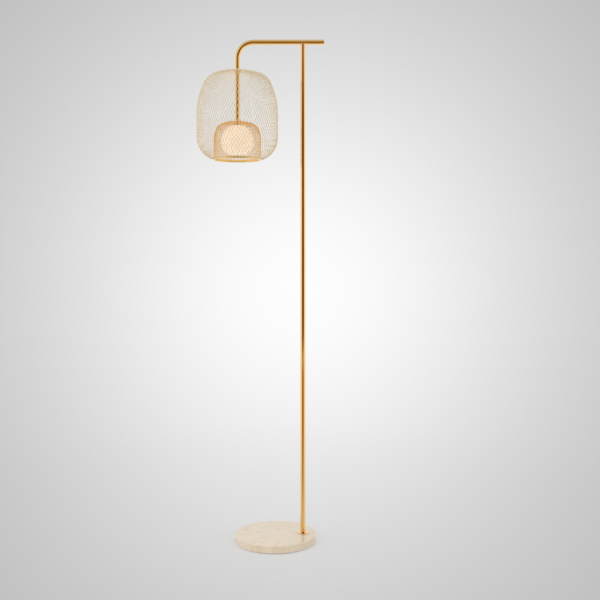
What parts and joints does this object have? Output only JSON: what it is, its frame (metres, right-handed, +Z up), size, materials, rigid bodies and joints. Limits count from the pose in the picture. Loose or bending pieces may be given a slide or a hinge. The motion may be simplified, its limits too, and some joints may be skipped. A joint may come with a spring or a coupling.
{
  "type": "floor lamp",
  "caption": "Floor lamp with a round stone base, an off-centre tube pole, a bent arm and a hanging diamond-mesh cage round a mesh dome and an opal globe.",
  "frame": {"origin": "centre of the base pad's underside, on the floor", "axes": "+X from the shade towards the pole, +Y away from the viewer, +Z up"},
  "size_m": [0.3942, 0.2516, 1.55],
  "materials": {
    "marble": "polished cream marble",
    "pad": "matt soft pad",
    "gold_tube": "polished gold plating",
    "gold_ring": "polished gold plating",
    "cage_wire": "pale champagne gold plating",
    "dome_wire": "warm gold plating",
    "raw_brass": "turned",
    "steel": "zinc plated",
    "opal_glass": "opal white, glossy",
    "lamp_glass": "frosted",
    "ceramic": "glazed ceramic",
    "silicone": "matt",
    "black_rubber": "matt",
    "lead_jacket": "smooth"
  },
  "bodies": {
    "stand": {"base_slab": "marble", "base_pad": "pad", "lead_gland": "black_rubber", "clamp_washer": "steel", "base_nut": "steel", "base_stud": "steel", "foot_collar": "gold_tube", "foot_insert": "raw_brass", "pole_lower": "gold_tube", "pole_middle": "gold_tube", "pole_upper": "gold_tube", "lower_socket": "raw_brass", "lower_stud": "raw_brass", "upper_socket": "raw_brass", "upper_stud": "raw_brass", "tee_insert": "raw_brass", "tee_nipple": "steel", "tee_saddle_nut": "steel", "arm_tube": "gold_tube", "arm_end_cap": "gold_tube", "drop_insert": "raw_brass", "shade_nipple": "steel", "dome_crown": "gold_ring", "globe_cup": "gold_ring", "cup_nut": "steel", "cage_hub": "gold_ring", "cage_hub_screw": "steel", "shade_ring": "gold_ring", "dome_mesh": "dome_wire", "cage_mesh_right": "cage_wire", "cage_mesh_rear": "cage_wire", "cage_mesh_left": "cage_wire", "cage_mesh_front": "cage_wire", "holder_cap": "steel", "lamp_holder": "ceramic", "inner_lead": "lead_jacket"},
    "globe_seal": {"globe_seal": "silicone"},
    "globe": {"opal_globe": "opal_glass", "globe_collar": "raw_brass"},
    "lamp": {"lamp_base": "ceramic", "lamp_envelope": "lamp_glass", "lamp_pins": "steel"}
  },
  "joints": [
    {"name": "globe_travel", "type": "slide", "parent": "stand", "child": "globe_seal", "axis": [0, 0, -1], "range_m": [0, 0.006]},
    {"name": "globe_unscrew", "type": "hinge", "parent": "globe_seal", "child": "globe", "pos_m": [-0.1185, 0, 1.24], "axis": [0, 0, -1], "range_deg": [0, 720]},
    {"name": "lamp_pull", "type": "slide", "parent": "stand", "child": "lamp", "axis": [0, 0, -1], "range_m": [0, 0.01]}
  ],
  "couplings": [
    {"joint": "globe_travel", "follows": "globe_unscrew", "m_per_rad": 0.00047746}
  ]
}
